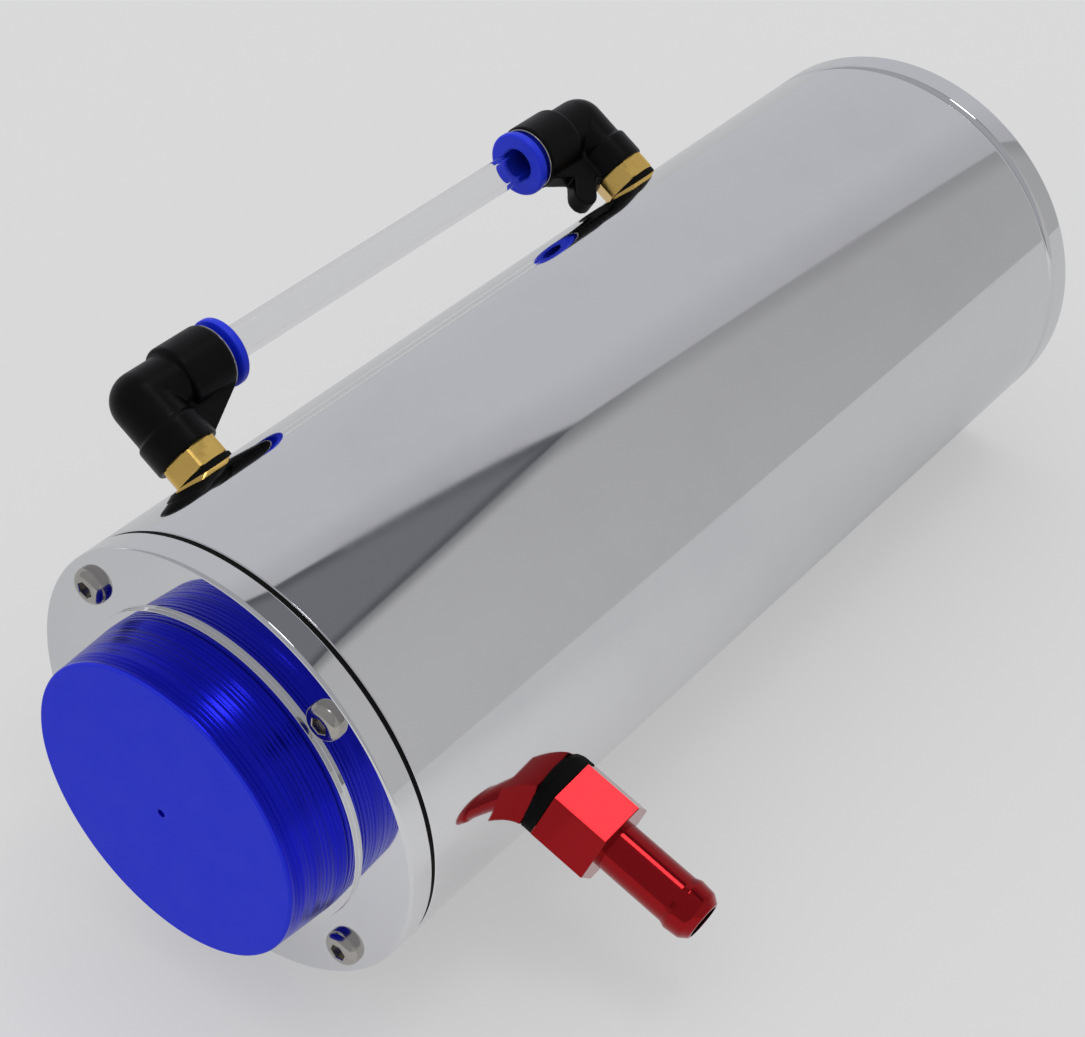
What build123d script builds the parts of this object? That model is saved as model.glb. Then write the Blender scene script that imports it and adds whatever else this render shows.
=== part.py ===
"""Coolant overflow tank: a polished aluminium tube with a screwed top flange, a turned filler cap,
a barbed hose fitting and a clear sight tube held between two push-in elbows.

The tank lies on its side. X is the axis of the tube, with the cap towards -X, and Z is up.
The origin is the centre of the base plate's outer face. All lengths are millimetres.
"""
from build123d import *
import math
import os

# Body
tank_od = 76.2
tank_wall = 2.0
tube_length = 183.0
base_thickness = 6.0
base_spigot_depth = 4.0
base_spigot_wall = 3.0
gasket_thickness = 0.8
flange_thickness = 4.5
rim_chamfer = 0.5
seam_chamfer = 0.25

# Mouth ring and the flange screws that pull the flange onto it
mouth_ring_depth = 9.0
mouth_ring_width = 7.0
screw_count = 4
screw_first_angle = 45.0
screw_edge_distance = 4.7
screw_diameter = 4.0
screw_length = 10.0
screw_head_diameter = 7.4
screw_head_height = 2.2
screw_head_slope_height = 1.5
screw_head_slope_width = 1.6
screw_socket_across_flats = 2.5
screw_socket_depth = 1.3
screw_hole_clearance = 0.25

# Filler neck and cap
neck_land_screw_gap = 1.7
neck_land_height = 0.8
neck_boss_wall = 6.0
neck_boss_depth = 8.0
cap_thread_length = 10.0
cap_thread_clearance = 0.08
cap_height = 11.6
cap_land_margin = 1.3
cap_side_taper = 0.8
cap_shoulder_width = 5.7
cap_chamfer = 0.7
cap_face_dimple_diameter = 1.6
cap_face_dimple_depth = 0.5
cap_spigot_wall = 4.0
cap_hollow_depth = 9.0
cap_groove_depth = 0.25
cap_groove_width = 0.35
cap_groove_offsets = (2.5, 5.0, 7.1, 9.4)
cap_seal_inset = 3.4
cap_seal_section = 2.4
cap_seal_squeeze = 0.3
cap_seal_clearance = 0.1

# Hose fitting, its washer, the boss inside the wall and the pickup pipe
port_station = 36.6
port_angle = 199.0
port_thread_diameter = 12.0
port_boss_diameter = 20.0
port_boss_height = 7.0
port_washer_thickness = 1.3
port_washer_diameter = 14.6
port_hex_across_flats = 14.0
port_hex_height = 10.6
port_hex_turn = 9.0
port_thread_length = 8.0
barb_pipe_diameter = 8.6
barb_diameter = 9.4
barb_tip_diameter = 7.7
barb_pipe_length = 12.9
barb_length = 5.2
barb_rise = 0.9
port_bore_diameter = 6.0
pickup_diameter = 8.0
pickup_wall = 1.0
pickup_bend_radius = 12.0
pickup_wall_offset = 11.0
pickup_base_gap = 6.0
pickup_socket_depth = 3.0

# Level gauge
gauge_angle = 33.0
gauge_upper_station = 32.0
gauge_lower_station = 147.0
gauge_boss_diameter = 15.0
gauge_boss_height = 6.0
stud_thread_diameter = 8.0
stud_thread_length = 7.0
stud_washer_thickness = 0.8
stud_washer_diameter = 10.8
stud_hex_across_flats = 10.0
stud_hex_height = 3.7
stud_bore_diameter = 3.6
stud_journal_diameter = 6.4
stud_journal_length = 5.4
stud_lip_height = 0.6
stud_lip_diameter = 7.2
swivel_clearance = 0.05
swivel_seal_section = 1.0
swivel_groove_depth = 0.8
swivel_seal_height = 2.9
elbow_tube_height = 16.1
elbow_stud_barrel_diameter = 11.8
elbow_stud_barrel_length = 5.6
elbow_neck_diameter = 10.6
elbow_tube_barrel_diameter = 12.6
elbow_barrel_gap = 0.5
elbow_tube_barrel_end = 15.6
elbow_web_thickness = 3.6
elbow_edge = 0.6
elbow_lug_width = 4.6
elbow_lug_reach = 10.6
elbow_lug_slope = 45.0
sight_tube_diameter = 6.0
sight_tube_bore = 4.0
sight_tube_clearance = 0.05
sight_tube_stop = 1.6
tube_seal_section = 1.5
tube_seal_start = 5.2
gripper_start = 7.6
gripper_thickness = 0.6
gripper_claws = 8
gripper_slot_width = 0.5
guide_ring_start = 12.8
guide_ring_end = 15.9
guide_ring_diameter = 10.9
guide_ring_bore = 9.0
guide_ring_wall = 0.45
collet_clearance = 0.08
collet_bead_width = 0.6
collet_sleeve_start = 9.6
collet_press_travel = 1.0
collet_stop_gap = 0.2
collet_head_thickness = 1.6
collet_head_diameter = 12.4
collet_head_edge = 0.5

# Worked out from the sizes above
tank_radius = tank_od / 2
bore_radius = tank_radius - tank_wall
tube_mouth_x = -base_thickness - tube_length
flange_back_x = tube_mouth_x - gasket_thickness
flange_front_x = flange_back_x - flange_thickness
neck_land_x = flange_front_x - neck_land_height
elbow_tube_barrel_start = elbow_stud_barrel_diameter / 2 + elbow_barrel_gap
screw_pitch_radius = tank_radius - screw_edge_distance
neck_land_diameter = 2 * (screw_pitch_radius - neck_land_screw_gap) - screw_head_diameter
cap_base_diameter = neck_land_diameter - 2 * cap_land_margin
cap_top_diameter = cap_base_diameter - 2 * cap_side_taper
cap_thread_diameter = cap_base_diameter - 2 * cap_shoulder_width
cap_seal_diameter = cap_base_diameter - 2 * cap_seal_inset
neck_boss_diameter = cap_thread_diameter + 2 * neck_boss_wall


def station_x(station):
    """X of a station counted from the front face of the flange."""
    return flange_front_x + station


def radial_plane(x, angle):
    """A plane through the tank's axis at x whose normal points out at this angle from +Y to +Z."""
    out = (0, math.cos(math.radians(angle)), math.sin(math.radians(angle)))
    return Plane(origin=(x, 0, 0), x_dir=(1, 0, 0), z_dir=out)


def side_plane(x, angle, facing=1):
    """A plane that holds the tank's axis and an outward line: local x along the axis, local y out."""
    normal = (0, -facing * math.sin(math.radians(angle)), facing * math.cos(math.radians(angle)))
    return Plane(origin=(x, 0, 0), x_dir=(facing, 0, 0), z_dir=normal)


def out_axis(x, angle):
    """The outward line at x and this angle."""
    return Axis((x, 0, 0), (0, math.cos(math.radians(angle)), math.sin(math.radians(angle))))


def save(piece, name):
    """Label a finished piece and write it."""
    piece.part.label = name
    export_step(piece.part, f"parts/{name}.step")


os.makedirs("parts", exist_ok=True)

# Tank tube
with BuildPart() as tank_tube:
    with BuildSketch(Plane.YZ.offset(tube_mouth_x)):
        Circle(tank_radius)
        Circle(bore_radius, mode=Mode.SUBTRACT)
    extrude(amount=tube_length)
    rim_edges = tank_tube.edges().filter_by(GeomType.CIRCLE)
    chamfer(rim_edges.filter_by(lambda edge: edge.radius > bore_radius + tank_wall / 2), seam_chamfer)
    with BuildSketch(radial_plane(station_x(port_station), port_angle)):
        Circle(port_thread_diameter / 2)
    extrude(amount=tank_od, mode=Mode.SUBTRACT)
    for station in (gauge_upper_station, gauge_lower_station):
        with BuildSketch(radial_plane(station_x(station), gauge_angle)):
            Circle(stud_thread_diameter / 2)
        extrude(amount=tank_od, mode=Mode.SUBTRACT)
save(tank_tube, "tank_tube")

# Base plate with its locating spigot
with BuildPart() as base_plate:
    with BuildSketch(Plane.YZ.offset(-base_thickness)):
        Circle(tank_radius)
    extrude(amount=base_thickness)
    chamfer(base_plate.edges().sort_by(Axis.X)[-1], rim_chamfer)
    chamfer(base_plate.edges().sort_by(Axis.X)[0], seam_chamfer)
    with BuildSketch(Plane.YZ.offset(-base_thickness - base_spigot_depth)):
        Circle(bore_radius)
        Circle(bore_radius - base_spigot_wall, mode=Mode.SUBTRACT)
    extrude(amount=base_spigot_depth)
save(base_plate, "base_plate")

screw_angles = [screw_first_angle + turn * 360 / screw_count for turn in range(screw_count)]
screw_points = [
    (screw_pitch_radius * math.cos(math.radians(angle)), screw_pitch_radius * math.sin(math.radians(angle)))
    for angle in screw_angles
]

# Mouth ring, welded inside the tube, with the tapped holes
with BuildPart() as mouth_ring:
    with BuildSketch(Plane.YZ.offset(tube_mouth_x)):
        Circle(bore_radius)
        Circle(bore_radius - mouth_ring_width, mode=Mode.SUBTRACT)
        with Locations(*screw_points):
            Circle(screw_diameter / 2, mode=Mode.SUBTRACT)
    extrude(amount=mouth_ring_depth)
save(mouth_ring, "mouth_ring")

# Gasket between the tube's mouth and the flange
with BuildPart() as flange_gasket:
    with BuildSketch(Plane.YZ.offset(flange_back_x)):
        Circle(tank_radius - seam_chamfer)
        Circle(bore_radius - mouth_ring_width, mode=Mode.SUBTRACT)
        with Locations(*screw_points):
            Circle(screw_diameter / 2 + screw_hole_clearance, mode=Mode.SUBTRACT)
    extrude(amount=gasket_thickness)
save(flange_gasket, "flange_gasket")

# Top flange with the low land round its mouth and the tapped neck boss inside
with BuildPart() as top_flange:
    with BuildSketch(Plane.YZ.offset(flange_front_x)):
        Circle(tank_radius)
    extrude(amount=flange_thickness)
    chamfer(top_flange.edges().sort_by(Axis.X)[0], rim_chamfer)
    chamfer(top_flange.edges().sort_by(Axis.X)[-1], seam_chamfer)
    with BuildSketch(Plane.YZ.offset(neck_land_x)):
        Circle(neck_land_diameter / 2)
    extrude(amount=neck_land_height)
    with BuildSketch(Plane.YZ.offset(flange_back_x)):
        Circle(neck_boss_diameter / 2)
    extrude(amount=neck_boss_depth)
    with BuildSketch(Plane.YZ.offset(neck_land_x)):
        Circle(cap_thread_diameter / 2 + cap_thread_clearance)
    extrude(amount=neck_land_height + flange_thickness + neck_boss_depth, mode=Mode.SUBTRACT)
    with BuildSketch(Plane.YZ.offset(flange_front_x)):
        with Locations(*screw_points):
            Circle(screw_diameter / 2 + screw_hole_clearance)
    extrude(amount=flange_thickness, mode=Mode.SUBTRACT)
save(top_flange, "top_flange")

# Button-head flange screws, seated on the flange and screwed through the gasket into the mouth ring
with BuildPart() as flange_screws:
    with BuildSketch(Plane.YZ.offset(flange_front_x)):
        with Locations(*screw_points):
            Circle(screw_diameter / 2)
    extrude(amount=screw_length)
    with BuildSketch(Plane.YZ.offset(flange_front_x - screw_head_height)):
        with Locations(*screw_points):
            Circle(screw_head_diameter / 2)
    extrude(amount=screw_head_height)
    head_rims = flange_screws.edges().group_by(Axis.X)[0]
    chamfer(head_rims, screw_head_slope_height, screw_head_slope_width)
    with BuildSketch(Plane.YZ.offset(flange_front_x - screw_head_height)):
        with Locations(*screw_points):
            RegularPolygon(screw_socket_across_flats / 2, 6, major_radius=False)
    extrude(amount=screw_socket_depth, mode=Mode.SUBTRACT)
save(flange_screws, "flange_screws")

# Filler cap: a turned knob with a threaded spigot, open underneath
cap_base_x = neck_land_x
cap_front_x = cap_base_x - cap_height
cap_spigot_end_x = cap_base_x + cap_thread_length
seal_groove_depth = cap_seal_section - cap_seal_squeeze


def cap_side_radius(offset):
    """Radius of the cap's tapered side at this distance behind its front face."""
    share = offset / cap_height
    return (cap_top_diameter + share * (cap_base_diameter - cap_top_diameter)) / 2


with BuildPart() as filler_cap:
    with BuildSketch(Plane.XY):
        with BuildLine():
            Polyline(
                (cap_front_x, 0),
                (cap_front_x, cap_side_radius(0) - cap_chamfer),
                (cap_front_x + cap_chamfer, cap_side_radius(cap_chamfer)),
                (cap_base_x, cap_side_radius(cap_height)),
                (cap_base_x, cap_thread_diameter / 2),
                (cap_spigot_end_x, cap_thread_diameter / 2),
                (cap_spigot_end_x, cap_thread_diameter / 2 - cap_spigot_wall),
                (cap_spigot_end_x - cap_hollow_depth, cap_thread_diameter / 2 - cap_spigot_wall),
                (cap_spigot_end_x - cap_hollow_depth, 0),
                close=True,
            )
        make_face()
        for offset in cap_groove_offsets:
            with Locations((cap_front_x + offset, cap_side_radius(offset))):
                Rectangle(cap_groove_width, 2 * cap_groove_depth, mode=Mode.SUBTRACT)
        with Locations((cap_base_x, cap_seal_diameter / 2)):
            Rectangle(
                2 * seal_groove_depth,
                cap_seal_section + 2 * cap_seal_clearance,
                mode=Mode.SUBTRACT,
            )
        with Locations((cap_front_x, 0)):
            Rectangle(
                2 * cap_face_dimple_depth,
                cap_face_dimple_diameter / 2,
                align=(Align.CENTER, Align.MIN),
                mode=Mode.SUBTRACT,
            )
    revolve(axis=Axis.X)
save(filler_cap, "filler_cap")

# Seal ring in the groove under the cap, pressed flat against the neck land
with BuildPart() as cap_seal:
    with BuildSketch(Plane.XY):
        with Locations((cap_base_x - seal_groove_depth / 2, cap_seal_diameter / 2)):
            Rectangle(seal_groove_depth, cap_seal_section)
    revolve(axis=Axis.X)
save(cap_seal, "cap_seal")


def wall_boss(name, station, angle, diameter, height, hole_diameter):
    """A boss welded to the inside of the wall, with its outer end shaped to the bore."""
    x = station_x(station)
    with BuildPart() as boss:
        with BuildSketch(radial_plane(x, angle).offset(bore_radius - height)):
            Circle(diameter / 2)
            Circle(hole_diameter / 2, mode=Mode.SUBTRACT)
        extrude(amount=height)
        with BuildSketch(Plane.YZ.offset(x - diameter)):
            Circle(bore_radius)
        extrude(amount=2 * diameter, mode=Mode.INTERSECT)
    save(boss, name)


def saddle_washer(name, station, angle, diameter, thickness, hole_diameter):
    """A soft washer, flat on the fitting's side and bedded on the round tank on the other."""
    x = station_x(station)
    with BuildPart() as washer:
        with BuildSketch(radial_plane(x, angle).offset(bore_radius)):
            Circle(diameter / 2)
            Circle(hole_diameter / 2, mode=Mode.SUBTRACT)
        extrude(amount=tank_wall + thickness)
        with BuildSketch(Plane.YZ.offset(x - diameter)):
            Circle(tank_radius)
        extrude(amount=2 * diameter, mode=Mode.SUBTRACT)
    save(washer, name)


# Hose fitting: boss, washer and the red barbed fitting itself
wall_boss("port_boss", port_station, port_angle, port_boss_diameter, port_boss_height, port_thread_diameter)
saddle_washer(
    "port_washer", port_station, port_angle, port_washer_diameter, port_washer_thickness, port_thread_diameter
)
port_x = station_x(port_station)
port_seat = tank_radius + port_washer_thickness
port_hex_end = port_seat + port_hex_height
barb_start = port_hex_end + barb_pipe_length
barb_end = barb_start + barb_length
with BuildPart() as barb_fitting:
    with BuildSketch(radial_plane(port_x, port_angle).offset(port_seat)):
        RegularPolygon(port_hex_across_flats / 2, 6, major_radius=False, rotation=port_hex_turn)
    extrude(amount=port_hex_height)
    with BuildSketch(side_plane(port_x, port_angle)):
        with BuildLine():
            Polyline(
                (0, port_seat - port_thread_length),
                (port_thread_diameter / 2, port_seat - port_thread_length),
                (port_thread_diameter / 2, port_seat + port_hex_height / 2),
                (barb_pipe_diameter / 2, port_seat + port_hex_height / 2),
                (barb_pipe_diameter / 2, barb_start),
                (barb_diameter / 2, barb_start + barb_rise),
                (barb_tip_diameter / 2, barb_end),
                (0, barb_end),
                close=True,
            )
        make_face()
    revolve(axis=out_axis(port_x, port_angle))
    with BuildSketch(radial_plane(port_x, port_angle)):
        Circle(port_bore_diameter / 2)
    extrude(amount=barb_end, mode=Mode.SUBTRACT)
    with BuildSketch(radial_plane(port_x, port_angle)):
        Circle(pickup_diameter / 2)
    extrude(amount=port_seat - port_thread_length + pickup_socket_depth, mode=Mode.SUBTRACT)
save(barb_fitting, "barb_fitting")

# Pickup pipe from the hose fitting down to the base
pickup_start = port_seat - port_thread_length + pickup_socket_depth
pickup_run_radius = port_seat - port_thread_length - pickup_wall_offset
with BuildPart() as pickup_pipe:
    with BuildLine(side_plane(port_x, port_angle)) as pickup_path:
        FilletPolyline(
            (0, pickup_start),
            (0, pickup_run_radius),
            (-port_x - base_thickness - pickup_base_gap, pickup_run_radius),
            radius=pickup_bend_radius,
        )
    with BuildSketch(radial_plane(port_x, port_angle).offset(pickup_start)):
        Circle(pickup_diameter / 2)
        Circle(pickup_diameter / 2 - pickup_wall, mode=Mode.SUBTRACT)
    sweep(path=pickup_path.wires()[0])
save(pickup_pipe, "pickup_pipe")

# Level gauge: the same set of pieces at both ends of the sight tube
stud_seat = tank_radius + stud_washer_thickness
elbow_seat = stud_seat + stud_hex_height
tube_axis_radius = tank_radius + elbow_tube_height
swivel_seal_radius = elbow_seat + swivel_seal_height


def make_stud(name, station):
    """Brass stud: thread, hexagon and the journal that the elbow turns on."""
    x = station_x(station)
    journal = stud_journal_diameter / 2
    with BuildPart() as stud:
        with BuildSketch(radial_plane(x, gauge_angle).offset(stud_seat)):
            RegularPolygon(stud_hex_across_flats / 2, 6, major_radius=False)
        extrude(amount=stud_hex_height)
        with BuildSketch(side_plane(x, gauge_angle)):
            with BuildLine():
                Polyline(
                    (0, stud_seat - stud_thread_length),
                    (stud_thread_diameter / 2, stud_seat - stud_thread_length),
                    (stud_thread_diameter / 2, stud_seat + stud_hex_height / 2),
                    (journal, stud_seat + stud_hex_height / 2),
                    (journal, elbow_seat + stud_journal_length - stud_lip_height),
                    (stud_lip_diameter / 2, elbow_seat + stud_journal_length - stud_lip_height),
                    (journal, elbow_seat + stud_journal_length),
                    (0, elbow_seat + stud_journal_length),
                    close=True,
                )
            make_face()
            with Locations((journal, swivel_seal_radius)):
                Rectangle(
                    2 * swivel_groove_depth,
                    swivel_seal_section + 2 * swivel_clearance,
                    mode=Mode.SUBTRACT,
                )
        revolve(axis=out_axis(x, gauge_angle))
        with BuildSketch(radial_plane(x, gauge_angle)):
            Circle(stud_bore_diameter / 2)
        extrude(amount=tank_od, mode=Mode.SUBTRACT)
    save(stud, name)


def make_swivel_seal(name, station):
    """Seal ring in the stud's groove, pressed out against the elbow's socket."""
    x = station_x(station)
    groove_bottom = stud_journal_diameter / 2 - swivel_groove_depth
    socket_wall = stud_journal_diameter / 2 + swivel_clearance
    with BuildPart() as seal:
        with BuildSketch(side_plane(x, gauge_angle)):
            with Locations(((groove_bottom + socket_wall) / 2, swivel_seal_radius)):
                Rectangle(socket_wall - groove_bottom - swivel_clearance, swivel_seal_section)
        revolve(axis=out_axis(x, gauge_angle))
    save(seal, name)


def tube_axis(station):
    """Axis of the sight tube, seen from this elbow."""
    x = station_x(station)
    angle = math.radians(gauge_angle)
    return Axis((x, tube_axis_radius * math.cos(angle), tube_axis_radius * math.sin(angle)), (1, 0, 0))


def tube_plane(station, facing, reach):
    """A plane across the sight tube, this far from the stud's axis, with its normal towards the tube."""
    angle = math.radians(gauge_angle)
    out = (0, math.cos(angle), math.sin(angle))
    centre = (station_x(station) + facing * reach, tube_axis_radius * out[1], tube_axis_radius * out[2])
    return Plane(origin=centre, x_dir=out, z_dir=(facing, 0, 0))


def make_elbow(name, station, facing, has_lug):
    """Black push-in elbow: stud barrel, bent neck, tube barrel, corner web, lug and the bores inside."""
    x = station_x(station)
    out_plane = radial_plane(x, gauge_angle)
    neck_start = elbow_seat + elbow_stud_barrel_length
    with BuildPart() as elbow:
        with BuildSketch(out_plane.offset(elbow_seat)):
            Circle(elbow_stud_barrel_diameter / 2)
        extrude(amount=elbow_stud_barrel_length)
        with BuildSketch(tube_plane(station, facing, elbow_tube_barrel_start)):
            Circle(elbow_tube_barrel_diameter / 2)
        extrude(amount=elbow_tube_barrel_end - elbow_tube_barrel_start)
        chamfer(elbow.edges().filter_by(GeomType.CIRCLE), elbow_edge)
        with BuildSketch(out_plane.offset(neck_start - elbow_edge)):
            Circle(elbow_neck_diameter / 2)
        extrude(amount=tube_axis_radius - neck_start + elbow_edge)
        with BuildSketch(tube_plane(station, facing, 0)):
            Circle(elbow_neck_diameter / 2)
        extrude(amount=elbow_tube_barrel_start + elbow_edge)
        with Locations(tube_plane(station, facing, 0)):
            Sphere(elbow_neck_diameter / 2)
        with BuildSketch(side_plane(x, gauge_angle, facing)):
            with BuildLine():
                Polyline(
                    (0, elbow_seat + elbow_edge),
                    (elbow_stud_barrel_diameter / 2, elbow_seat + elbow_edge),
                    (elbow_tube_barrel_end - elbow_edge, tube_axis_radius - elbow_tube_barrel_diameter / 2),
                    (elbow_tube_barrel_end - elbow_edge, tube_axis_radius),
                    (0, tube_axis_radius),
                    close=True,
                )
            make_face()
            if has_lug:
                slope = math.radians(elbow_lug_slope)
                lug_line = Vector(math.cos(slope), -math.sin(slope)) * (elbow_lug_reach - elbow_lug_width / 2)
                notch = Vector(elbow_stud_barrel_diameter / 2, tube_axis_radius - elbow_tube_barrel_diameter / 2)
                SlotCenterPoint(notch, notch + lug_line, elbow_lug_width)
        extrude(amount=elbow_web_thickness / 2, both=True)
        # stud socket with its snap groove, then the passage to the tube
        with BuildSketch(side_plane(x, gauge_angle, facing)):
            socket = stud_journal_diameter / 2 + swivel_clearance
            snap = stud_lip_diameter / 2 + swivel_clearance
            snap_start = elbow_seat + stud_journal_length - stud_lip_height - swivel_clearance
            snap_end = elbow_seat + stud_journal_length + swivel_clearance
            with BuildLine():
                Polyline(
                    (0, elbow_seat),
                    (socket, elbow_seat),
                    (socket, snap_start),
                    (snap, snap_start),
                    (snap, snap_end),
                    (stud_bore_diameter / 2, snap_end),
                    (stud_bore_diameter / 2, tube_axis_radius),
                    (0, tube_axis_radius),
                    close=True,
                )
            make_face()
        revolve(axis=out_axis(x, gauge_angle), mode=Mode.SUBTRACT)
        # stepped bore for the tube, its seal and the guide ring
        tube_bore = sight_tube_diameter / 2 + sight_tube_clearance
        with BuildSketch(side_plane(x, gauge_angle, facing)):
            with BuildLine():
                Polyline(
                    (0, tube_axis_radius),
                    (0, tube_axis_radius + stud_bore_diameter / 2),
                    (sight_tube_stop, tube_axis_radius + stud_bore_diameter / 2),
                    (sight_tube_stop, tube_axis_radius + tube_bore),
                    (tube_seal_start, tube_axis_radius + tube_bore),
                    (tube_seal_start, tube_axis_radius + sight_tube_diameter / 2 + tube_seal_section),
                    (gripper_start, tube_axis_radius + sight_tube_diameter / 2 + tube_seal_section),
                    (gripper_start, tube_axis_radius + guide_ring_diameter / 2),
                    (elbow_tube_barrel_end, tube_axis_radius + guide_ring_diameter / 2),
                    (elbow_tube_barrel_end, tube_axis_radius),
                    close=True,
                )
            make_face()
        revolve(axis=tube_axis(station), mode=Mode.SUBTRACT)
    save(elbow, name)


def make_tube_seal(name, station, facing):
    """Seal ring between the sight tube and the elbow."""
    inner = sight_tube_diameter / 2
    width = gripper_start - tube_seal_start
    with BuildPart() as seal:
        with BuildSketch(side_plane(station_x(station), gauge_angle, facing)):
            with Locations((tube_seal_start + width / 2, tube_axis_radius + inner + tube_seal_section / 2)):
                Rectangle(width - 2 * swivel_clearance, tube_seal_section)
        revolve(axis=tube_axis(station))
    save(seal, name)


def make_gripper(name, station, facing):
    """Thin steel ring whose claws hold the sight tube."""
    claw_tip = sight_tube_diameter / 2 + sight_tube_clearance
    outer = guide_ring_diameter / 2
    with BuildPart() as gripper:
        with BuildSketch(tube_plane(station, facing, gripper_start)):
            Circle(outer)
            Circle(claw_tip, mode=Mode.SUBTRACT)
            with PolarLocations((claw_tip + outer) / 2 - gripper_thickness, gripper_claws):
                Rectangle(outer - claw_tip, gripper_slot_width, mode=Mode.SUBTRACT)
        extrude(amount=gripper_thickness)
    save(gripper, name)


def make_guide_ring(name, station, facing):
    """Thin metal sleeve in the elbow's mouth that clamps the gripper and guides the collet."""
    outer = guide_ring_diameter / 2
    with BuildPart() as ring:
        with BuildSketch(side_plane(station_x(station), gauge_angle, facing)):
            with BuildLine():
                Polyline(
                    (gripper_start + gripper_thickness, tube_axis_radius + outer),
                    (guide_ring_end, tube_axis_radius + outer),
                    (guide_ring_end, tube_axis_radius + guide_ring_bore / 2),
                    (guide_ring_start, tube_axis_radius + guide_ring_bore / 2),
                    (guide_ring_start, tube_axis_radius + outer - guide_ring_wall),
                    (gripper_start + gripper_thickness, tube_axis_radius + outer - guide_ring_wall),
                    close=True,
                )
            make_face()
        revolve(axis=tube_axis(station))
    save(ring, name)


def make_collet(name, station, facing):
    """Blue release collet: a sleeve round the tube with a stop bead inside and a head to press."""
    inner = tube_axis_radius + sight_tube_diameter / 2 + collet_clearance
    sleeve = tube_axis_radius + guide_ring_bore / 2 - collet_clearance
    bead = tube_axis_radius + guide_ring_diameter / 2 - guide_ring_wall - 2 * collet_clearance
    bead_end = guide_ring_start - collet_stop_gap
    head = tube_axis_radius + collet_head_diameter / 2
    head_start = guide_ring_end + collet_press_travel + collet_stop_gap
    head_end = head_start + collet_head_thickness
    with BuildPart() as collet:
        with BuildSketch(side_plane(station_x(station), gauge_angle, facing)):
            with BuildLine():
                Polyline(
                    (collet_sleeve_start, inner),
                    (head_end, inner),
                    (head_end, head - collet_head_edge),
                    (head_end - collet_head_edge, head),
                    (head_start, head),
                    (head_start, sleeve),
                    (bead_end, sleeve),
                    (bead_end, bead),
                    (bead_end - collet_bead_width, bead),
                    (bead_end - 2 * collet_bead_width, sleeve),
                    (collet_sleeve_start, sleeve),
                    close=True,
                )
            make_face()
        revolve(axis=tube_axis(station))
    save(collet, name)


# The upper set is next to the cap and faces the base, the lower set faces the cap
for end, station, facing in (("upper", gauge_upper_station, 1), ("lower", gauge_lower_station, -1)):
    wall_boss(
        f"gauge_boss_{end}", station, gauge_angle, gauge_boss_diameter, gauge_boss_height, stud_thread_diameter
    )
    saddle_washer(
        f"stud_washer_{end}", station, gauge_angle, stud_washer_diameter, stud_washer_thickness, stud_thread_diameter
    )
    make_stud(f"stud_{end}", station)
    make_swivel_seal(f"swivel_seal_{end}", station)
    make_elbow(f"elbow_{end}", station, facing, has_lug=end == "lower")
    make_tube_seal(f"tube_seal_{end}", station, facing)
    make_gripper(f"gripper_{end}", station, facing)
    make_guide_ring(f"guide_ring_{end}", station, facing)
    make_collet(f"collet_{end}", station, facing)

# Clear sight tube between the two elbows
with BuildPart() as sight_tube:
    with BuildSketch(tube_plane(gauge_upper_station, 1, sight_tube_stop)):
        Circle(sight_tube_diameter / 2)
        Circle(sight_tube_bore / 2, mode=Mode.SUBTRACT)
    extrude(amount=gauge_lower_station - gauge_upper_station - 2 * sight_tube_stop)
save(sight_tube, "sight_tube")
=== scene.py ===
"""Coolant overflow tank: the looks of every piece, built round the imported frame.

The tank lies along X with its cap towards -X, and Z is up. Places and sizes here are millimetres in
that frame, and they turn into metres as each mesh is made. Angles round the tank go from +Y to +Z.
"""
import math

import bmesh
import bpy
from mathutils import Matrix, Vector


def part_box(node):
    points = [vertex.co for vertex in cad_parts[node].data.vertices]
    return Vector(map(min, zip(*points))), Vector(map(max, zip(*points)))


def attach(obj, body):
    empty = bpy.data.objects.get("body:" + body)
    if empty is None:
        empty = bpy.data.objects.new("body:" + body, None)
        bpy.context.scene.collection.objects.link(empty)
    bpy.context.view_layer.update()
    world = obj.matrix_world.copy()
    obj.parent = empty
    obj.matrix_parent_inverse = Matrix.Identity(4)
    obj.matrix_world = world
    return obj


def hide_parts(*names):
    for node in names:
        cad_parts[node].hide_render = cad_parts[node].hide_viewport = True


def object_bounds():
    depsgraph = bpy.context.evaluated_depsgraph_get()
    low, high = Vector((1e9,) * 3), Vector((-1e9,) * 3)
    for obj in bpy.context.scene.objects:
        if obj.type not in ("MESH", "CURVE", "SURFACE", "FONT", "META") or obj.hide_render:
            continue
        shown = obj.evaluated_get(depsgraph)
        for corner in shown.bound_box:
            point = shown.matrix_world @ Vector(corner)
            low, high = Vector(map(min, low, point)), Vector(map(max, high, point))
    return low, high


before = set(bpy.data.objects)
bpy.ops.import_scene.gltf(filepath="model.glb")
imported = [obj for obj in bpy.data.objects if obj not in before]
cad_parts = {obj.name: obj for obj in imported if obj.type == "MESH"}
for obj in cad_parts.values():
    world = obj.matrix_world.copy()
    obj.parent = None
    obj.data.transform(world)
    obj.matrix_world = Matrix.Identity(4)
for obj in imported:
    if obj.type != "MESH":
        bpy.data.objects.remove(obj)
cad_low, cad_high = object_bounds()

MM = 0.001


def span(node):
    """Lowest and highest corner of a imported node, in millimetres."""
    low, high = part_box(node)
    return low / MM, high / MM


# Body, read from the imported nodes
tube_low, tube_high = span("tank_tube")
base_low, base_high = span("base_plate")
flange_low, flange_high = span("top_flange")
gasket_low, gasket_high = span("flange_gasket")
cap_low = span("filler_cap")[0]
tank_radius = tube_high.z
tank_wall = 2.0
bore_radius = tank_radius - tank_wall
spigot_wall = 3.0
mouth_ring_width = 7.0
rim_round = 0.55
seam_round = 0.22
base_seam_round = 1.2
gasket_edge_round = 0.15
floor_z = tube_low.z

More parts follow.
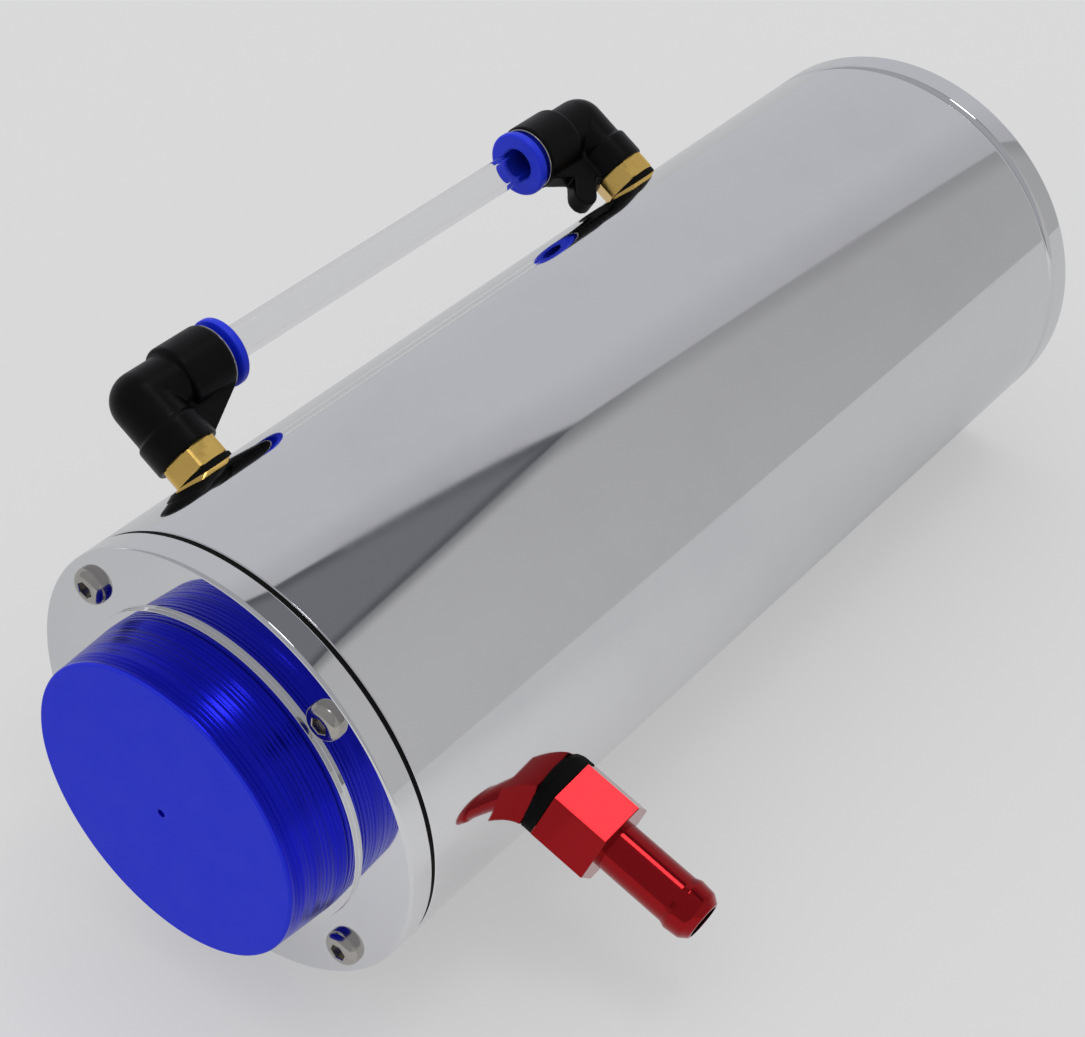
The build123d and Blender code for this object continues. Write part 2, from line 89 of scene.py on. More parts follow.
# Flange, its land and screws, whose spins are radians
neck_land_height = 0.8
neck_land_radius = 28.0
neck_boss_radius = 27.0
neck_thread_root = 21.9
neck_thread_crest = 21.07
neck_chamfer = 0.6
neck_land_round = 0.12
neck_land_root_round = 0.1
neck_boss_round = 0.3
flange_front_x = flange_low.x + neck_land_height
screw_count = 4
screw_first_angle = 45.0
screw_pitch_radius = 33.4
screw_radius = 2.0
screw_length = 10.0
screw_head_radius = 3.1
screw_head_height = 1.8
screw_head_land = 0.35
screw_crown_radius = 1.8
screw_socket_apothem = 1.25
screw_socket_depth = 1.3
screw_socket_chamfer = 0.12
screw_dome_steps = 8
screw_first_spin = 0.4
screw_spin_step = 1.3

# Filler cap and seal
cap_face_radius = 25.9
cap_base_radius = 26.7
cap_height = 11.6
cap_edge_round = 0.5
cap_face_edge = 0.3
cap_base_round = 0.3
cap_grooves = (
    (1.0, 0.08), (1.7, 0.12), (2.5, 0.12), (3.3, 0.04), (4.0, 0.06), (5.0, 0.1), (5.6, 0.04),
    (6.3, 0.04), (7.1, 0.08), (7.8, 0.06), (8.6, 0.05), (9.4, 0.14), (10.1, 0.12), (10.8, 0.1),
)
cap_groove_half_width = 0.16
cap_dimple_radius = 0.7
cap_dimple_depth = 1.2
cap_thread_root = 20.1
cap_thread_crest = 20.95
cap_thread_pitch = 2.0
cap_thread_length = 10.0
cap_thread_margin = 0.4
cap_spigot_bore = 17.0
cap_spigot_round = 0.4
cap_hollow_depth = 9.0
cap_hollow_round = 1.5
seal_groove_depth = 2.1
seal_middle_radius = 23.3
seal_half_width = 1.2
seal_clearance = 0.1
seal_round = 0.5

# Threads, with sloping flanks and flat crests. They fade in and out over part of a turn
thread_rows_per_turn = 8
thread_fade_rate = 3
thread_peak = 1.6
thread_flank = 4
thread_backing = 0.3

# Hose fitting
port_x = -157.7
port_angle = 199.0
port_seat = tank_radius + 1.3
port_hex_height = 10.6
port_hex_apothem = 7.0
port_hex_corner = 8.06
port_hex_edge = 0.15
port_hex_turn = 9.0
port_thread_radius = 6.0
port_thread_length = 8.0
port_thread_round = 0.5
pipe_radius = 4.3
pipe_length = 12.9
pipe_root_round = 0.25
barb_foot_round = 0.6
barb_radius = 4.7
barb_rise = 1.1
barb_round = 0.7
barb_back_radius = 4.45
barb_back_length = 1.4
barb_back_round = 1.2
barb_tip_radius = 3.4
barb_tip_round = 0.45
barb_length = 5.2
pipe_bore = 3.0

# Level gauge
gauge_angle = 33.0
gauge_places = (("upper", -162.3, 1), ("lower", -47.3, -1))
stud_seat = tank_radius + 0.8
stud_hex_height = 3.7
stud_hex_apothem = 5.0
stud_hex_corner = 5.7
stud_hex_edge = 0.35
stud_thread_radius = 4.0
stud_thread_length = 7.0
stud_journal_radius = 3.2
stud_journal_length = 5.4
stud_bore = 1.8
elbow_seat = stud_seat + stud_hex_height
tube_axis_radius = tank_radius + 16.1
stud_barrel_radius = 5.9
stud_barrel_length = 5.6
stud_barrel_round = 0.35
elbow_neck_radius = 5.3
tube_barrel_radius = 6.3
tube_barrel_start = 6.4
tube_barrel_end = 15.6
tube_barrel_round = 0.5
elbow_edge = 0.6
web_half_thickness = 1.8
lug_width = 4.6
lug_reach = 10.6
lug_root = 3.0
elbow_voxel = 0.22
elbow_softness = 0.5
elbow_soft_steps = 5
tube_clearance = 0.1
journal_clearance = 0.05
journal_end_clearance = 0.1
bore_overrun = 1.0
mouth_bore_start = 6.8
guide_ring_start = 12.8
guide_ring_end = 15.9
guide_ring_radius = 5.45
guide_ring_bore = 4.5
guide_ring_lip = 5.95
guide_ring_lip_round = 0.08
guide_ring_front_round = 0.12
guide_ring_bore_round = 0.1
collet_start = 9.6
collet_sleeve_radius = 4.42
collet_head_start = 17.1
collet_head_end = 18.7
collet_head_radius = 6.2
collet_bore = 3.08
collet_back_round = 0.3
collet_front_round = 0.55
collet_lead_in = 0.35
collet_lead_in_round = 0.2
sight_tube_stop = 1.6
sight_tube_radius = 3.0
sight_tube_bore = 2.0
sight_tube_edge_round = 0.1

# Segments of round shapes. The hose fitting's number puts one at each corner of its turned hexagon
FINE = 256
FITTING = 120
MEDIUM = 96
COARSE = 64
SMALL = 48
FILLET_STEPS = 5
POINT_RADIUS = 1e-6


# Places of local frames, whose X is the axis that a turned piece is made round


def gauge_out():
    """Direction out of the tank at the gauge."""
    angle = math.radians(gauge_angle)
    return Vector((0, math.cos(angle), math.sin(angle)))


def local_frame(axis, side, origin=(0, 0, 0)):
    """A frame with its X along axis and its Y along side."""
    axis, side = Vector(axis), Vector(side)
    matrix = Matrix((axis, side, axis.cross(side))).transposed().to_4x4()
    matrix.translation = Vector(origin)
    return matrix


def out_frame(x, angle, facing=1):
    """A frame at x whose X points out of the tank at this angle."""
    turn = math.radians(angle)
    return local_frame((0, math.cos(turn), math.sin(turn)), (facing, 0, 0), (x, 0, 0))


def tube_frame(x, facing):
    """A frame on the sight tube's axis, starting over a stud and pointing at the other elbow."""
    out = gauge_out()
    return local_frame((facing, 0, 0), out, Vector((x, 0, 0)) + out * tube_axis_radius)


TANK_FRAME = Matrix.Identity(4)


# Meshes


def rounded(profile):
    """The profile's points, with an arc at each corner that has a radius as its third number."""
    points = []
    for index, entry in enumerate(profile):
        if len(entry) < 3 or not entry[2]:
            points.append(tuple(entry[:2]))
            continue
        corner = Vector(entry[:2])
        neighbours = (Vector(profile[(index + step) % len(profile)][:2]) for step in (-1, 1))
        towards = [(neighbour - corner).normalized() for neighbour in neighbours]
        half = towards[0].angle(towards[1]) / 2
        centre = corner + (towards[0] + towards[1]).normalized() * entry[2] / math.sin(half)
        start, end = (corner + way * entry[2] / math.tan(half) - centre for way in towards)
        for step in range(FILLET_STEPS + 1):
            share = step / FILLET_STEPS
            spoke = start.lerp(end, share).normalized() * entry[2]
            points.append(tuple(centre + spoke))
    return points


def turned_mesh(mesh, profile, place, segments):
    """Adds a closed turned shape to a bmesh. A radius may be a function of the angle round the axis."""
    rings = []
    for x, radius in profile:
        if not callable(radius) and radius < POINT_RADIUS:
            rings.append([mesh.verts.new(place @ Vector((x, 0, 0)) * MM)])
            continue
        ring = []
        for step in range(segments):
            angle = math.tau * step / segments
            reach = radius(angle) if callable(radius) else radius
            point = Vector((x, reach * math.cos(angle), reach * math.sin(angle)))
            ring.append(mesh.verts.new(place @ point * MM))
        rings.append(ring)
    for one, two in zip(rings, rings[1:] + rings[:1]):
        for step in range(segments):
            after = (step + 1) % segments
            near = (one[step % len(one)], one[after % len(one)])
            far = (two[after % len(two)], two[step % len(two)])
            unique = list(dict.fromkeys(near + far))
            if len(unique) > 2:
                mesh.faces.new(unique)


def finished(mesh, name, sharp_angle=35.0):
    """An object from a bmesh, with its faces turned outwards and smooth up to the sharp angle."""
    bmesh.ops.recalc_face_normals(mesh, faces=mesh.faces)
    data = bpy.data.meshes.new(name)
    mesh.to_mesh(data)
    mesh.free()
    data.shade_smooth()
    data.set_sharp_from_angle(angle=math.radians(sharp_angle))
    piece = bpy.data.objects.new(name, data)
    bpy.context.scene.collection.objects.link(piece)
    weigh_normals(piece)
    return piece


def weigh_normals(piece):
    """Shades each corner by its largest faces, so that a long side stays straight beside a small fillet."""
    weighing = piece.modifiers.new("weighted_normals", "WEIGHTED_NORMAL")
    weighing.weight = 100
    weighing.keep_sharp = True


def turned(name, profile, place=TANK_FRAME, segments=MEDIUM):
    """One turned piece from a profile of (along, radius, corner radius)."""
    mesh = bmesh.new()
    turned_mesh(mesh, rounded(profile), place, segments)
    return finished(mesh, name)


def hexagon(apothem, turn=0.0, corner=None):
    """Radius of a hexagon with a corner at this turn, cut back to the corner radius if it has one."""
    def radius(angle):
        from_flat = (math.degrees(angle) - turn) % 60 - 30
        reach = apothem / math.cos(math.radians(from_flat))
        return min(reach, corner) if corner else reach
    return radius


def threaded_radius(turns, fade, root, crest):
    """Radius of a helical thread, this many turns from its start."""
    def radius(angle):
        phase = (turns + angle / math.tau) % 1
        height = fade * min(1, max(0, thread_peak - thread_flank * abs(phase - 0.5)))
        return root + (crest - root) * height
    return radius


def threaded(name, start, end, root, crest, wall):
    """A closed sleeve with a helical thread on one side and a plain wall on the other."""
    rows = int((end - start) / cap_thread_pitch * thread_rows_per_turn)
    profile = []
    for row in range(rows + 1):
        x = start + (end - start) * row / rows
        fade = min(1, thread_fade_rate * min(row, rows - row) / thread_rows_per_turn)
        profile.append((x, threaded_radius((x - start) / cap_thread_pitch, fade, root, crest)))
    mesh = bmesh.new()
    turned_mesh(mesh, profile + [(end, wall), (start, wall)], TANK_FRAME, MEDIUM)
    return finished(mesh, name)


# Shader nodes


def shader(tree, kind, **values):
    """A node with its inputs set from numbers, colours or outputs, and its settings from words."""
    node = tree.nodes.new(kind)
    for name, value in values.items():
        label = name.replace("_", " ")
        if label in node.inputs:
            give(tree, node.inputs[label], value)
        else:
            setattr(node, name, value)
    return node


def give(tree, socket, value):
    """Links an output to the socket, or sets the socket's own value."""
    if isinstance(value, bpy.types.NodeSocket):
        tree.links.new(value, socket)
    else:
        socket.default_value = value


def maths(tree, operation, *values):
    """Output of a Math node."""
    node = tree.nodes.new("ShaderNodeMath")
    node.operation = operation
    for socket, value in zip(node.inputs, values):
        give(tree, socket, value)
    return node.outputs[0]


def mixed(tree, share, low, high):
    """Colour between low and high."""
    node = tree.nodes.new("ShaderNodeMix")
    node.data_type = "RGBA"
    give(tree, node.inputs["Factor"], share)
    give(tree, node.inputs[6], low)
    give(tree, node.inputs[7], high)
    return node.outputs[2]


def between(tree, value, low, high, out_low=0.0, out_high=1.0, smooth=True):
    """Value taken from the range low to high into another range, eased at both ends."""
    node = tree.nodes.new("ShaderNodeMapRange")
    node.interpolation_type = "SMOOTHSTEP" if smooth else "LINEAR"
    for socket, number in zip(node.inputs, (value, low, high, out_low, out_high)):
        give(tree, socket, number)
    return node.outputs[0]


def noise(tree, **values):
    """Height of a Noise Texture."""
    return shader(tree, "ShaderNodeTexNoise", **values).outputs[0]


def new_group(name, inputs, outputs):
    """A shader node group with float or vector inputs and float outputs, and its two end nodes."""
    group = bpy.data.node_groups.new(name, "ShaderNodeTree")
    for label, value in inputs.items():
        kind = "NodeSocketVector" if label == "Vector" else "NodeSocketFloat"
        socket = group.interface.new_socket(label, in_out="INPUT", socket_type=kind)
        if label != "Vector":
            socket.default_value = value
    for label in outputs:
        group.interface.new_socket(label, in_out="OUTPUT", socket_type="NodeSocketFloat")
    return group, group.nodes.new("NodeGroupInput"), group.nodes.new("NodeGroupOutput")


def make_polish_group():
    """Hairlines, soft waves and wiped smudges on a polished surface."""
    inputs = {"Vector": None, "Along": 40.0, "Round": 2600.0, "Waves": 60.0}
    group, start, end = new_group("polish_marks", inputs, ("Hairlines", "Waves", "Smudges"))
    around = start.outputs["Round"]
    stretch = shader(group, "ShaderNodeCombineXYZ", X=start.outputs["Along"], Y=around, Z=around)
    scaled = shader(group, "ShaderNodeVectorMath", operation="MULTIPLY")
    group.links.new(start.outputs["Vector"], scaled.inputs[0])
    group.links.new(stretch.outputs[0], scaled.inputs[1])
    hairlines = noise(group, Vector=scaled.outputs[0], Scale=1.0, Detail=3.0, Roughness=0.6)
    waves = noise(group, Vector=start.outputs["Vector"], Scale=start.outputs["Waves"], Detail=1.0)
    smudges = noise(group, Vector=start.outputs["Vector"], Scale=35.0, Detail=5.0, Roughness=0.65)
    group.links.new(hairlines, end.inputs["Hairlines"])
    group.links.new(waves, end.inputs["Waves"])
    group.links.new(between(group, smudges, 0.45, 0.75), end.inputs["Smudges"])
    return group


def make_turning_group():
    """Fine rings left by turning a piece round the tank's axis: along its side, or across its face."""
    inputs = {"Vector": None, "Fineness": 9000.0, "Facing": 0.0}
    group, start, end = new_group("turning_marks", inputs, ("Rings", "Bands"))
    parts = shader(group, "ShaderNodeSeparateXYZ", Vector=start.outputs["Vector"])
    squares = [maths(group, "POWER", parts.outputs[axis], 2.0) for axis in "YZ"]
    radius = maths(group, "SQRT", maths(group, "ADD", *squares))
    side = maths(group, "SUBTRACT", 1.0, start.outputs["Facing"])
    along_side = maths(group, "MULTIPLY", parts.outputs["X"], side)
    across_face = maths(group, "MULTIPLY", radius, start.outputs["Facing"])
    place = maths(group, "ADD", along_side, across_face)
    fine_place = maths(group, "MULTIPLY", place, start.outputs["Fineness"])
    rings = noise(group, noise_dimensions="1D", W=fine_place, Scale=1.0, Detail=2.0, Roughness=0.7)
    bands = noise(group, noise_dimensions="1D", W=place, Scale=700.0, Detail=1.0)
    group.links.new(rings, end.inputs["Rings"])
    group.links.new(bands, end.inputs["Bands"])
    return group


def make_grain_group():
    """Fine grain and faint mottling of moulded or blasted surfaces."""
    group, start, end = new_group("fine_grain", {"Vector": None, "Grain": 6000.0}, ("Grain", "Mottle"))
    grain = noise(group, Vector=start.outputs["Vector"], Scale=start.outputs["Grain"], Detail=2.0)
    mottle = noise(group, Vector=start.outputs["Vector"], Scale=180.0, Detail=4.0, Roughness=0.6)
    group.links.new(grain, end.inputs["Grain"])
    group.links.new(mottle, end.inputs["Mottle"])
    return group


polish_marks = make_polish_group()
turning_marks = make_turning_group()
fine_grain = make_grain_group()


def new_material(name, **plain):
    """A material with one Principled BSDF, its plain inputs set, and the object's coordinates."""
    material = bpy.data.materials.new(name)
    material.use_nodes = True
    tree = material.node_tree
    bsdf = tree.nodes["Principled BSDF"]
    for label, value in plain.items():
        bsdf.inputs[label.replace("_", " ")].default_value = value
    coordinates = shader(tree, "ShaderNodeTexCoord")
    return material, tree, bsdf, coordinates.outputs["Object"]


def use_group(tree, group, vector, **values):
    """A group node with its inputs set."""
    node = tree.nodes.new("ShaderNodeGroup")
    node.node_tree = group
    give(tree, node.inputs["Vector"], vector)
    for label, value in values.items():
        node.inputs[label].default_value = value
    return node


def relief(tree, bsdf, *layers):
    """Bumps on the surface, one layer of (height, distance in metres) after another."""
    below = None
    for height, distance in layers:
        bump = shader(tree, "ShaderNodeBump", Strength=1.0, Distance=distance, Height=height)
        if below:
            tree.links.new(below.outputs[0], bump.inputs["Normal"])
        below = bump
    tree.links.new(below.outputs[0], bsdf.inputs["Normal"])


noise_middle = (0.3, 0.7)


def tint(tree, bsdf, share, colours, roughness, smooth=True):
    """Base colour and roughness between two values by one share, eased over its middle or straight."""
    low, high = noise_middle if smooth else (0.0, 1.0)
    give(tree, bsdf.inputs["Base Color"], mixed(tree, share, *colours))
    give(tree, bsdf.inputs["Roughness"], between(tree, share, low, high, *roughness, smooth))


def polished_aluminium():
    """Mirror-polished aluminium with hairlines, slight waves and wiped smudges."""
    material, tree, bsdf, place = new_material("polished_aluminium", Metallic=1.0)
    marks = use_group(tree, polish_marks, place, Along=30.0, Round=1500.0, Waves=45.0)
    colours = (0.785, 0.79, 0.80, 1), (0.755, 0.76, 0.775, 1)
    tint(tree, bsdf, marks.outputs["Smudges"], colours, (0.045, 0.085), smooth=False)
    relief(tree, bsdf, (marks.outputs["Waves"], 2.0e-6), (marks.outputs["Hairlines"], 6.0e-8))
    return material


def plain_aluminium():
    """Turned or drawn aluminium without polish."""
    material, tree, bsdf, place = new_material("plain_aluminium", Metallic=1.0)
    marks = use_group(tree, turning_marks, place, Fineness=6000.0)
    grain = use_group(tree, fine_grain, place)
    colours = (0.74, 0.745, 0.76, 1), (0.84, 0.845, 0.85, 1)
    tint(tree, bsdf, grain.outputs["Mottle"], colours, (0.25, 0.38))
    relief(tree, bsdf, (marks.outputs["Rings"], 1.5e-6))
    return material


def blue_face():
    """Matt blue anodised face with fine turning rings."""
    material, tree, bsdf, place = new_material("blue_anodised_face", Metallic=0.35, Specular_IOR_Level=0.15)
    rings = use_group(tree, turning_marks, place, Fineness=5200.0, Facing=1.0)
    grain = use_group(tree, fine_grain, place, Grain=9000.0)
    colours = (0.016, 0.030, 0.70, 1), (0.020, 0.036, 0.76, 1)
    tint(tree, bsdf, grain.outputs["Mottle"], colours, (0.52, 0.6))
    relief(tree, bsdf, (rings.outputs["Rings"], 1.5e-6), (grain.outputs["Grain"], 1.5e-6))
    return material


def blue_side():
    """Satin blue anodised side with the tool's rings."""
    material, tree, bsdf, place = new_material(
        "blue_anodised_side", Metallic=1.0, Coat_Weight=0.12, Coat_Roughness=0.2
    )
    rings = use_group(tree, turning_marks, place, Fineness=7000.0)
    shade = mixed(tree, rings.outputs["Bands"], (0.005, 0.008, 0.44, 1), (0.010, 0.014, 0.72, 1))
    give(tree, bsdf.inputs["Base Color"], shade)
    give(tree, bsdf.inputs["Roughness"], between(tree, rings.outputs["Rings"], *noise_middle, 0.2, 0.32))
    relief(tree, bsdf, (rings.outputs["Rings"], 8.0e-6))
    return material


def red_anodised():
    """Bright red anodised aluminium."""
    material, tree, bsdf, place = new_material(
        "red_anodised", Metallic=1.0, Coat_Weight=0.25, Coat_Roughness=0.1
    )
    marks = use_group(tree, polish_marks, place, Along=900.0, Round=900.0, Waves=220.0)
    colours = (0.36, 0.003, 0.007, 1), (0.31, 0.002, 0.006, 1)
    tint(tree, bsdf, marks.outputs["Smudges"], colours, (0.14, 0.2), smooth=False)
    relief(tree, bsdf, (marks.outputs["Hairlines"], 1.0e-6))
    return material


def brass():
    """Machined brass."""
    material, tree, bsdf, place = new_material("brass", Metallic=1.0)
    grain = use_group(tree, fine_grain, place, Grain=3500.0)
    colours = (0.88, 0.56, 0.13, 1), (0.95, 0.66, 0.20, 1)
    tint(tree, bsdf, grain.outputs["Mottle"], colours, (0.2, 0.32))
    relief(tree, bsdf, (grain.outputs["Grain"], 2.0e-6))
    return material


def moulded(name, colours, roughness, shine):
    """Moulded plastic or rubber: two close colours in a faint mottle, and a fine grain."""
    material, tree, bsdf, place = new_material(name, Specular_IOR_Level=shine)
    grain = use_group(tree, fine_grain, place, Grain=2600.0)
    tint(tree, bsdf, grain.outputs["Mottle"], colours, roughness)
    relief(tree, bsdf, (grain.outputs["Mottle"], 1.2e-5), (grain.outputs["Grain"], 4.0e-6))
    return material


def black_plastic():
    """Black moulded plastic."""
    return moulded("black_plastic", ((0.001, 0.001, 0.0012, 1), (0.002, 0.002, 0.0024, 1)), (0.3, 0.42), 0.12)


def blue_plastic():
    """Blue moulded plastic."""
    return moulded("blue_plastic", ((0.006, 0.022, 0.66, 1), (0.010, 0.034, 0.74, 1)), (0.3, 0.4), 0.3)


def black_rubber():
    """Matt black rubber."""
    return moulded("black_rubber", ((0.002, 0.002, 0.002, 1), (0.005, 0.005, 0.005, 1)), (0.6, 0.75), 0.1)


def clear_plastic():
    """Clear drawn tube."""
    material, tree, bsdf, place = new_material(
        "clear_plastic", Transmission_Weight=1.0, IOR=1.05, Base_Color=(0.998, 0.999, 1.0, 1)
    )
    grain = use_group(tree, fine_grain, place)
    give(tree, bsdf.inputs["Roughness"], between(tree, grain.outputs["Mottle"], 0.35, 0.75, 0.0, 0.03))
    return material


def steel():
    """Bright stainless steel."""
    material, tree, bsdf, place = new_material("steel", Metallic=1.0)
    grain = use_group(tree, fine_grain, place, Grain=5000.0)
    tint(tree, bsdf, grain.outputs["Mottle"], ((0.42, 0.40, 0.37, 1), (0.52, 0.50, 0.47, 1)), (0.12, 0.22))
    relief(tree, bsdf, (grain.outputs["Grain"], 1.5e-6))
    return material


materials = {
    "polished_aluminium": polished_aluminium(),
    "plain_aluminium": plain_aluminium(),
    "blue_anodised": blue_side(),
    "blue_anodised_face": blue_face(),
    "red_anodised": red_anodised(),
    "brass": brass(),
    "black_plastic": black_plastic(),
    "blue_plastic": blue_plastic(),
    "clear_plastic": clear_plastic(),
    "black_rubber": black_rubber(),
    "steel": steel(),
}


def dress(piece, node, body, slot):
    """Gives a piece the node that it stands for, its finish and the body that it rides on."""
    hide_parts(node)
    add_to(piece, body, slot)


def add_to(piece, body, slot):
    """Gives a piece its finish and the body that it rides on."""
    piece.data.materials.append(materials[slot])
    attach(piece, body)


# Tank, base and flange


def make_tank():
    """Tube, base plate and gasket."""
    tube = turned("tube_skin", [
        (tube_low.x, bore_radius), (tube_low.x, tank_radius, seam_round),
        (tube_high.x, tank_radius, base_seam_round), (tube_high.x, bore_radius),
    ], segments=FINE)
    dress(tube, "tank_tube", "tank", "polished_aluminium")
    base_back = tube_high.x
    base = turned("base_disc", [
        (base_low.x, bore_radius - spigot_wall), (base_low.x, bore_radius), (base_back, bore_radius),
        (base_back, tank_radius, base_seam_round), (base_high.x, tank_radius, rim_round), (base_high.x, 0),
        (base_back, 0), (base_back, bore_radius - spigot_wall),
    ], segments=FINE)
    dress(base, "base_plate", "tank", "polished_aluminium")
    gasket = turned("gasket_ring", [
        (gasket_low.x, bore_radius - mouth_ring_width),
        (gasket_low.x, tank_radius - seam_round, gasket_edge_round),
        (gasket_high.x, tank_radius - seam_round, gasket_edge_round),
        (gasket_high.x, bore_radius - mouth_ring_width),
    ], segments=FINE)
    dress(gasket, "flange_gasket", "tank", "black_rubber")


def make_flange():
    """Flange disc with its land and boss, and the thread in its mouth."""
    back_x = gasket_low.x
    thread_start = flange_low.x + neck_chamfer
    flange = turned("flange_disc", [
        (flange_low.x, neck_thread_root + neck_chamfer), (flange_low.x, neck_land_radius, neck_land_round),
        (flange_front_x, neck_land_radius, neck_land_root_round), (flange_front_x, tank_radius, rim_round),
        (back_x, tank_radius, seam_round), (back_x, neck_boss_radius),
        (flange_high.x, neck_boss_radius, neck_boss_round), (flange_high.x, neck_thread_root),
        (thread_start, neck_thread_root),
    ], segments=FINE)
    dress(flange, "top_flange", "tank", "polished_aluminium")
    thread = threaded("neck_thread", thread_start, flange_high.x, neck_thread_root, neck_thread_crest,
                      neck_thread_root + thread_backing)
    add_to(thread, "tank", "plain_aluminium")


def screw_profile():
    """Profile of a button-head screw with a hexagon socket, seated at zero."""
    top = -screw_head_height
    socket_end = top + screw_socket_depth
    dome_height = screw_head_height - screw_head_land
    dome_width = screw_head_radius - screw_crown_radius
    socket = hexagon(screw_socket_apothem)
    profile = [
        (socket_end, 0), (socket_end, socket), (top + screw_socket_chamfer, socket),
        (top, hexagon(screw_socket_apothem + screw_socket_chamfer)),
    ]
    for step in range(screw_dome_steps + 1):
        slope = math.radians(step * 90 / screw_dome_steps)
        drop = dome_height * (1 - math.cos(slope))
        profile.append((top + drop, screw_crown_radius + dome_width * math.sin(slope)))
    profile += [(0, screw_head_radius), (0, screw_radius), (screw_length, screw_radius), (screw_length, 0)]
    return profile


def make_screws():
    """Four button-head screws, each left at its own turn."""
    profile = screw_profile()
    mesh = bmesh.new()
    for turn in range(screw_count):
        angle = math.radians(screw_first_angle + turn * 360 / screw_count)
        across, up = screw_pitch_radius * math.cos(angle), screw_pitch_radius * math.sin(angle)
        spin = Matrix.Rotation(turn * screw_spin_step + screw_first_spin, 4, "X")
        turned_mesh(mesh, profile, Matrix.Translation((flange_front_x, across, up)) @ spin, SMALL)
    screws = finished(mesh, "button_screws")
    dress(screws, "flange_screws", "tank", "steel")


# Filler cap


def cap_side_profile():
    """Points down the cap's tapered side, with every turned groove."""
    front = cap_low.x
    taper = (cap_base_radius - cap_face_radius) / cap_height
    points = []
    for offset, depth in cap_grooves:
        radius = cap_face_radius + taper * offset
        points += [(front + offset - cap_groove_half_width, radius), (front + offset, radius - depth),
                   (front + offset + cap_groove_half_width, radius)]
    return points


def make_cap():
    """Filler cap: matt face with its centre mark, grooved side, seal groove, hollow spigot and thread."""
    front, base_x = cap_low.x, cap_low.x + cap_height
    end_x = base_x + cap_thread_length
    hollow_x = end_x - cap_hollow_depth
    groove_x = base_x - seal_groove_depth
    groove_in = seal_middle_radius - seal_half_width - seal_clearance
    groove_out = seal_middle_radius + seal_half_width + seal_clearance
    profile = [
        (front + cap_dimple_depth, 0), (front + cap_dimple_depth / 2, cap_dimple_radius),
        (front, cap_dimple_radius), (front, cap_face_radius, cap_edge_round),
    ]
    profile += cap_side_profile()
    profile += [
        (base_x, cap_base_radius, cap_base_round), (base_x, groove_out), (groove_x, groove_out),
        (groove_x, groove_in), (base_x, groove_in), (base_x, cap_thread_root),
        (end_x, cap_thread_root, cap_spigot_round), (end_x, cap_spigot_bore),
        (hollow_x, cap_spigot_bore, cap_hollow_round), (hollow_x, 0),
    ]
    cap = turned("cap_knob", profile, segments=FINE)
    dress(cap, "filler_cap", "cap", "blue_anodised")
    cap.data.materials.append(materials["blue_anodised_face"])
    face_depth = (front + cap_face_edge) * MM
    for face in cap.data.polygons:
        if face.center.x < face_depth:
            face.material_index = 1
    thread = threaded("cap_thread", base_x + cap_thread_margin, end_x - cap_thread_margin, cap_thread_root,
                      cap_thread_crest, cap_thread_root - thread_backing)
    add_to(thread, "cap", "blue_anodised")


def make_cap_seal():
    """Seal ring under the cap."""
    base_x = cap_low.x + cap_height
    groove_x = base_x - seal_groove_depth
    inner, outer = seal_middle_radius - seal_half_width, seal_middle_radius + seal_half_width
    corners = ((groove_x, inner), (groove_x, outer), (base_x, outer), (base_x, inner))
    seal = turned("cap_seal_ring", [(x, radius, seal_round) for x, radius in corners], segments=FINE)
    dress(seal, "cap_seal", "cap_seal", "black_rubber")


# Hose fitting


def hexagon_profile(start, end, body, edge_body, edge):
    """Profile of a hexagon between two heights, with its edges cut back."""
    return [(start, edge_body), (start + edge, body), (end - edge, body), (end, edge_body)]


def make_hose_fitting():
    """Red hexagon with its thread, pipe and single barb."""
    hex_end = port_seat + port_hex_height
    thread_end = port_seat - port_thread_length
    barb_start = hex_end + pipe_length
    barb_end = barb_start + barb_length
    body, edge_body = (
        hexagon(port_hex_apothem - cut, port_hex_turn, port_hex_corner - cut) for cut in (0.0, port_hex_edge)
    )
    round_part = rounded([
        (hex_end, pipe_radius, pipe_root_round), (barb_start, pipe_radius, barb_foot_round),
        (barb_start + barb_rise, barb_radius, barb_round),
        (barb_end - barb_back_length, barb_back_radius, barb_back_round),
        (barb_end, barb_tip_radius, barb_tip_round), (barb_end, pipe_bore), (thread_end, pipe_bore),
        (thread_end, port_thread_radius, port_thread_round), (port_seat, port_thread_radius),
    ])
    profile = hexagon_profile(port_seat, hex_end, body, edge_body, port_hex_edge) + round_part
    mesh = bmesh.new()
    turned_mesh(mesh, profile, out_frame(port_x, port_angle), FITTING)
    fitting = finished(mesh, "hose_fitting", sharp_angle=30)
    dress(fitting, "barb_fitting", "tank", "red_anodised")


# Level gauge


def make_stud(end, x):
    """Brass stud with its hexagon, thread and journal."""
    hex_end = stud_seat + stud_hex_height
    journal_end = hex_end + stud_journal_length
    thread_end = stud_seat - stud_thread_length
    body, edge_body = (hexagon(stud_hex_apothem, 0, stud_hex_corner - cut) for cut in (0.0, stud_hex_edge))
    profile = hexagon_profile(stud_seat, hex_end, body, edge_body, stud_hex_edge / 2)
    profile += [
        (hex_end, stud_journal_radius), (journal_end, stud_journal_radius), (journal_end, stud_bore),
        (thread_end, stud_bore), (thread_end, stud_thread_radius), (stud_seat, stud_thread_radius),
    ]
    mesh = bmesh.new()
    turned_mesh(mesh, profile, out_frame(x, gauge_angle), MEDIUM)
    dress(finished(mesh, f"brass_stud_{end}", sharp_angle=28), f"stud_{end}", "tank", "brass")


